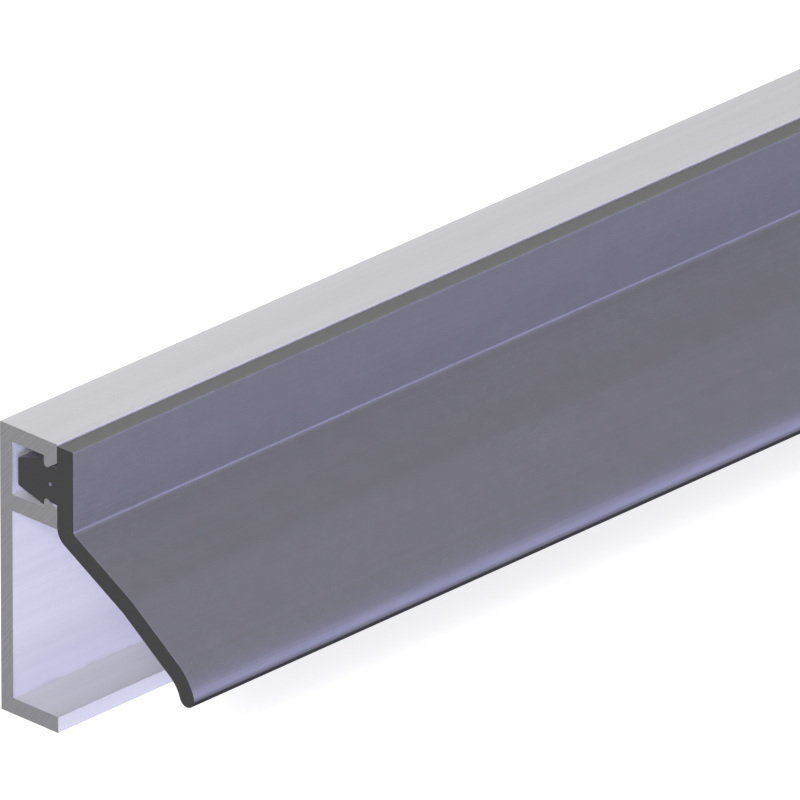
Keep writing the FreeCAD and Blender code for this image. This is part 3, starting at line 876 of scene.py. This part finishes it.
def sawn_aluminium(base):
    """The cut ends: bare metal with the arcs of the saw and a little chatter; its base is made darker
    than the skin as painted shade on the ends.
    """
    material, tree, shader, position = new_material("sawn_aluminium", base)
    shader["Metallic"].default_value = 1.0
    saw = add_effect(tree, "Cut Marks", position, {"Marks per mm": 4.5, "Centre": SAW_CENTRE})
    wear = add_effect(tree, "Corner Wear", position)
    grain = add_noise(tree, position, 14.0, 2.0)

    arcs = add_mix(tree, saw["Marks"], scaled(base, 0.89), scaled(base, 1.08))
    cut = add_layers(tree, arcs,
                     (saw["Chatter"], 0.50, scaled(base, 0.92)),
                     (wear["Worn"], 0.50, scaled(base, 1.6)))
    join(tree, cut, shader["Base Color"])
    join(tree, from_mask(tree, saw["Marks"], 0.60, 0.50), shader["Roughness"])
    add_bump(tree, add_shares(tree, saw["Marks"], (grain, 0.3)), 0.000008, shader)
    return material


def rubber_skin(base):
    """Matt extruded rubber: die lines, a faint bloom, rubbed corners, and painted shade, near black and
    rougher, on the underside of the blade's tip.
    """
    material, tree, shader, position = new_material("rubber_skin", base)
    shader["IOR"].default_value = 1.40
    die = add_effect(tree, "Extrusion Lines", position, {"Lines per mm": 2.2})
    handling = add_effect(tree, "Handling Marks", position)
    wear = add_effect(tree, "Corner Wear", position)
    # Painted shade: the underside of the blade's tip is made near black and rougher.
    wiped = mark_on_mesh(tree, "wiped")
    bloom = add_mask(tree, add_noise(tree, position, 0.35, 5.0, 0.65), 0.40, 0.70)
    pores = add_noise(tree, position, 7.0, 4.0, 0.7)

    streaked = add_mix(tree, die["Streaks"], scaled(base, 0.95), scaled(base, 1.04))
    skin = add_layers(tree, streaked,
                      (die["Lines"], 0.35, scaled(base, 0.86)),
                      (bloom, 0.22, scaled(base, 1.25)),
                      (handling["Scratches"], 0.18, scaled(base, 1.6)),
                      (wear["Worn"], 0.35, scaled(base, 1.7)),
                      (wear["Settled"], 0.25, DUST_ON_RUBBER),
                      (wiped, 0.96, scaled(base, 0.04)))
    matt = add_range(tree, pores, 0.35, 0.65, 0.37, 0.43)
    join(tree, skin, shader["Base Color"])
    join(tree, add_shares(tree, matt, (handling["Smudges"], -0.02), (wiped, 0.5)), shader["Roughness"])
    add_bump(tree, add_shares(tree, die["Lines"], (pores, 0.8)), 0.000010, shader)
    return material


def rubber_cut(base):
    """The cut ends of the rubber: closer, with the drag of the knife; their near black base is painted
    shade on the ends.
    """
    material, tree, shader, position = new_material("rubber_cut", base)
    shader["IOR"].default_value = 1.38
    knife = add_effect(tree, "Cut Marks", position, {"Marks per mm": 3.0, "Centre": KNIFE_CENTRE})
    filler = add_noise(tree, position, 6.0, 4.0, 0.7)
    specks = add_mask(tree, filler, 0.62, 0.72)

    dragged = add_mix(tree, knife["Marks"], scaled(base, 0.90), scaled(base, 1.12))
    cut = add_layers(tree, dragged,
                     (knife["Chatter"], 0.40, scaled(base, 1.15)),
                     (specks, 0.50, scaled(base, 2.2)))
    join(tree, cut, shader["Base Color"])
    join(tree, from_mask(tree, knife["Marks"], 0.50, 0.58), shader["Roughness"])
    add_bump(tree, add_shares(tree, knife["Marks"], (filler, 0.5)), 0.000008, shader)
    return material


def cord_fibre(name, base, depth):
    """Glass fibre strands, or the coating between them, with the grain of the filaments."""
    material, tree, shader, position = new_material(name, base)
    knife = add_effect(tree, "Cut Marks", position, {"Marks per mm": 9.0, "Centre": KNIFE_CENTRE})
    filaments = add_noise(tree, add_stretch(tree, position, (0.2, 1.0, 1.0)), 45.0, 2.0, 0.6)

    grain = add_mask(tree, filaments, 0.35, 0.65)
    grained = add_mix(tree, grain, scaled(base, 0.82), scaled(base, 1.15))
    dragged = add_layers(tree, grained, (knife["Marks"], 0.30, scaled(base, 0.75)))
    join(tree, dragged, shader["Base Color"])
    join(tree, add_range(tree, filaments, 0.3, 0.7, 0.45, 0.65), shader["Roughness"])
    add_bump(tree, filaments, depth, shader)
    return material


# Operators

def fit_piece(piece, node):
    """Puts a piece in a CAD node's place, which it hides, and on the seal's body."""
    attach(piece, "root")
    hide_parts(node)


class DOORSEAL_OT_make_carrier(Operator):
    """Build the aluminium carrier with its slotted screw holes"""

    bl_idname = "door_seal.make_carrier"
    bl_label = "Make Carrier"
    bl_options = {"REGISTER", "UNDO"}

    def execute(self, context):
        carrier = context.scene.door_seal_carrier
        parts = MeshParts()
        gaps = extrude(parts, [carrier_outline(carrier)], cut_stations(HALF_LENGTH, carrier.cut_radius),
                       pierced=("door_face", "channel_back"))
        pierce_wall(parts, gaps, carrier)
        check_closed(parts, "The carrier")
        piece = parts.make_object("extruded_carrier", [
            anodised_aluminium(carrier.anodised), sawn_aluminium(carrier.sawn)])
        fit_piece(piece, "carrier_profile")
        return {"FINISHED"}


class DOORSEAL_OT_make_seal(Operator):
    """Build the rubber seal: key, neck, leg and flared blade, with a bore for its cord"""

    bl_idname = "door_seal.make_seal"
    bl_label = "Make Rubber Seal"
    bl_options = {"REGISTER", "UNDO"}

    BORE_SIDES = 24

    def execute(self, context):
        carrier = context.scene.door_seal_carrier
        seal = context.scene.door_seal_rubber
        cord = context.scene.door_seal_cord
        centre = cord_centre(carrier, cord)
        bore = circle_outline(centre, cord.diameter / 2, self.BORE_SIDES, hollow=True)
        parts = MeshParts()
        extrude(parts, [seal_outline(carrier, seal), bore], cut_stations(HALF_LENGTH, seal.cut_radius))
        check_closed(parts, "The rubber seal")
        piece = parts.make_object("rubber_blade_seal", [rubber_skin(seal.skin), rubber_cut(seal.cut)])
        fit_piece(piece, "blade_seal")
        return {"FINISHED"}


class DOORSEAL_OT_make_cord(Operator):
    """Build the glass fibre cord that keeps the rubber from stretching"""

    bl_idname = "door_seal.make_cord"
    bl_label = "Make Cord"
    bl_options = {"REGISTER", "UNDO"}

    STRAND_SIDES = 12
    STRAND_SLACK = 0.97
    STRAND_RELIEF = 0.000004
    COATING_SIDES = 24
    COATING_SLACK = 0.985
    COATING_SETBACK = 0.00004
    COATING_RELIEF = 0.000003
    # One turn of the lay, and the length near each cut end along which it is drawn.
    LAY_LENGTH = 0.004
    LAID_LENGTH = 0.003
    LAID_STEPS = 8
    UNEVEN_CUT = 0.00003
    # A strand's domed end: how far along the dome, the share of the radius there, and the lean.
    DOME = ((0.0, 0.80, math.pi / 3), (0.4, 0.95, math.pi / 6), (1.0, 1.0, 0.0))
    DOME_SHARE = 0.25
    SEED = 7

    def execute(self, context):
        cord = context.scene.door_seal_cord
        centre = cord_centre(context.scene.door_seal_carrier, cord)
        rng = random.Random(self.SEED)
        # The strands touch each other round the middle one and fill the bore.
        strand = cord.diameter / 2 / (1 + 1 / math.sin(math.pi / cord.strands)) * self.STRAND_SLACK
        lay_radius = strand / math.sin(math.pi / cord.strands)
        parts = MeshParts()
        self.add_coating(parts, cord, centre)
        for number in range(cord.strands + 1):
            orbit = lay_radius if number else 0.0
            phase = 2 * math.pi * number / cord.strands
            add_strand(parts, self.strand_path(centre, orbit, phase, strand, rng), strand,
                       self.STRAND_SIDES, 0)
        check_closed(parts, "The cord")
        piece = parts.make_object("laid_glass_cord", [
            cord_fibre("cord_fibre", cord.glass, self.STRAND_RELIEF),
            cord_fibre("cord_coating", cord.binder, self.COATING_RELIEF)])
        fit_piece(piece, "stretch_cord")
        return {"FINISHED"}

    def add_coating(self, parts, cord, centre):
        end = HALF_LENGTH - self.COATING_SETBACK
        path = [(-end, centre, 1.0, 0.0), (end, centre, 1.0, 0.0)]
        add_strand(parts, path, cord.diameter / 2 * self.COATING_SLACK, self.COATING_SIDES, 1)

    def strand_path(self, centre, orbit, phase, radius, rng):
        """The strands are twisted near the cut ends, where the lay shows, and run straight between."""
        near, far = (HALF_LENGTH - self.UNEVEN_CUT * rng.random() for _ in range(2))
        dome = radius * self.DOME_SHARE
        path = []
        for end, x_end in ((-1, near), (1, far)):
            half = [(x_end - dome * along, share, end * lean) for along, share, lean in self.DOME]
            half += [(x_end - dome - self.LAID_LENGTH * step / self.LAID_STEPS, 1.0, 0.0)
                     for step in range(1, self.LAID_STEPS + 1)]
            rows = []
            for x, share, lean in half:
                turn = phase + 2 * math.pi * (x - x_end) / self.LAY_LENGTH
                swing = Vector((math.cos(turn), math.sin(turn))) * orbit
                rows.append((end * x, centre + swing, share, lean))
            path += rows if end < 0 else rows[::-1]
        return path


class DOORSEAL_OT_set_stage(Operator):
    """Build the pale floor, the soft lamps, the white surroundings and the camera"""

    bl_idname = "door_seal.set_stage"
    bl_label = "Set Stage"
    bl_options = {"REGISTER", "UNDO"}

    FLOOR_HALF = 15.0
    FLOOR_DROP = 0.00002
    FLOOR_GLOW = 0.79

    def execute(self, context):
        stage = context.scene.door_seal_stage
        context.scene.view_settings.view_transform = "Standard"
        self.make_floor(context, stage)
        self.light_surroundings(context, stage)
        for lamp in LAMPS:
            self.add_lamp(context, stage, lamp)
        self.add_camera(context)
        return {"FINISHED"}

    @staticmethod
    def seen_directly(tree):
        """1 for rays of the camera, of reflections and through glass, and 0 for other light."""
        path = add_node(tree, "ShaderNodeLightPath").outputs
        seen = add_math(tree, "MAXIMUM", path["Is Camera Ray"], path["Is Glossy Ray"])
        return add_math(tree, "MAXIMUM", seen, path["Is Transmission Ray"])

    @staticmethod
    def looking(place, direction):
        """The matrix of a lamp or camera at a place that looks in a direction."""
        return Matrix.Translation(place) @ direction.to_track_quat("-Z", "Y").to_matrix().to_4x4()

    def make_floor(self, context, stage):
        half = self.FLOOR_HALF
        z = FLOOR_HEIGHT - self.FLOOR_DROP
        mesh = bpy.data.meshes.new("floor")
        mesh.from_pydata([(-half, -half, z), (half, -half, z), (half, half, z), (-half, half, z)], [],
                         [(0, 1, 2, 3)])
        mesh.materials.append(self.pale_floor(stage))
        floor = bpy.data.objects.new("floor", mesh)
        context.scene.collection.objects.link(floor)

    def pale_floor(self, stage):
        """Shows as white and keeps the shadow. It is clear from below, where the underside shows."""
        material = bpy.data.materials.new("pale_floor")
        tree = empty_tree(material)
        output = add_node(tree, "ShaderNodeOutputMaterial")
        paper = add_node(tree, "ShaderNodeBsdfDiffuse", None, {"Color": (*stage.floor, 1.0)})
        glow = add_node(tree, "ShaderNodeEmission")
        lit = add_node(tree, "ShaderNodeAddShader")
        side = add_node(tree, "ShaderNodeNewGeometry")
        clear = add_node(tree, "ShaderNodeBsdfTransparent")
        one_sided = add_node(tree, "ShaderNodeMixShader")
        strength = add_math(tree, "MULTIPLY", self.seen_directly(tree), self.FLOOR_GLOW)
        join(tree, strength, glow.inputs["Strength"])
        join(tree, paper.outputs["BSDF"], lit.inputs[0])
        join(tree, glow.outputs["Emission"], lit.inputs[1])
        join(tree, side.outputs["Backfacing"], one_sided.inputs["Fac"])
        join(tree, lit.outputs["Shader"], one_sided.inputs[1])
        join(tree, clear.outputs["BSDF"], one_sided.inputs[2])
        join(tree, one_sided.outputs["Shader"], output.inputs["Surface"])
        arrange(tree)
        return material

    def light_surroundings(self, context, stage):
        """White where they are seen or mirrored, and a weaker even light on everything."""
        world = bpy.data.worlds.new("white_surroundings")
        context.scene.world = world
        tree = empty_tree(world)
        output = add_node(tree, "ShaderNodeOutputWorld")
        sky = add_node(tree, "ShaderNodeBackground", None, {"Color": (1.0, 1.0, 1.0, 1.0)})
        strength = from_mask(tree, self.seen_directly(tree), stage.ambient, 1.0)
        join(tree, strength, sky.inputs["Strength"])
        join(tree, sky.outputs["Background"], output.inputs["Surface"])
        arrange(tree)

    def add_lamp(self, context, stage, lamp):
        light = bpy.data.lights.new(lamp.name, "AREA")
        light.shape = "RECTANGLE"
        light.size, light.size_y = lamp.size
        light.energy = getattr(stage, lamp.power)
        light.color = getattr(stage, lamp.tint)
        stand = bpy.data.objects.new(lamp.name, light)
        stand.matrix_world = self.looking(lamp.place, LAMPS_AIM - Vector(lamp.place))
        stand.visible_camera = False
        stand.visible_glossy = lamp.mirrored
        if lamp.lit_piece:
            lit = bpy.data.collections.new(f"lit_by_{lamp.name}")
            lit.objects.link(bpy.data.objects[lamp.lit_piece])
            stand.light_linking.receiver_collection = lit
        context.scene.collection.objects.link(stand)

    def add_camera(self, context):
        lens = bpy.data.cameras.new("photo_camera")
        lens.lens = CAMERA_LENS
        lens.sensor_width = CAMERA_SENSOR
        lens.clip_start, lens.clip_end = CAMERA_RANGE
        away = Vector((math.sin(CAMERA_AZIMUTH) * math.cos(CAMERA_ELEVATION),
                       -math.cos(CAMERA_AZIMUTH) * math.cos(CAMERA_ELEVATION),
                       math.sin(CAMERA_ELEVATION)))
        camera = bpy.data.objects.new("photo_camera", lens)
        camera.matrix_world = self.looking(CAMERA_TARGET + away * CAMERA_DISTANCE, -away)
        context.scene.collection.objects.link(camera)
        context.scene.camera = camera


class DOORSEAL_PT_sidebar(Panel):
    """Lists the sizes and finishes of the seal and the steps that build it"""

    bl_idname = "DOORSEAL_PT_sidebar"
    bl_label = "Door Bottom Seal"
    bl_space_type = "VIEW_3D"
    bl_region_type = "UI"
    bl_category = "Door Seal"

    SECTIONS = (
        ("Carrier", "door_seal_carrier", "door_seal.make_carrier"),
        ("Rubber Seal", "door_seal_rubber", "door_seal.make_seal"),
        ("Cord", "door_seal_cord", "door_seal.make_cord"),
        ("Stage", "door_seal_stage", "door_seal.set_stage"),
    )

    def draw(self, context):
        for label, settings_name, operator_name in self.SECTIONS:
            settings = getattr(context.scene, settings_name)
            box = self.layout.box()
            box.label(text=label)
            column = box.column(align=True)
            for name in settings.__annotations__:
                column.prop(settings, name)
            box.operator(operator_name)


SETTINGS = {
    "door_seal_carrier": CarrierSettings,
    "door_seal_rubber": SealSettings,
    "door_seal_cord": CordSettings,
    "door_seal_stage": StageSettings,
}
OPERATORS = (
    DOORSEAL_OT_make_carrier,
    DOORSEAL_OT_make_seal,
    DOORSEAL_OT_make_cord,
    DOORSEAL_OT_set_stage,
)


def register():
    for name, settings in SETTINGS.items():
        bpy.utils.register_class(settings)
        setattr(bpy.types.Scene, name, PointerProperty(type=settings))
    for operator in OPERATORS:
        bpy.utils.register_class(operator)
    bpy.utils.register_class(DOORSEAL_PT_sidebar)


def unregister():
    bpy.utils.unregister_class(DOORSEAL_PT_sidebar)
    for operator in reversed(OPERATORS):
        bpy.utils.unregister_class(operator)
    for name, settings in reversed(SETTINGS.items()):
        delattr(bpy.types.Scene, name)
        bpy.utils.unregister_class(settings)


def main():
    register()
    bpy.ops.door_seal.make_carrier()
    bpy.ops.door_seal.make_seal()
    bpy.ops.door_seal.make_cord()
    bpy.ops.door_seal.set_stage()


if __name__ == "__main__":
    main()
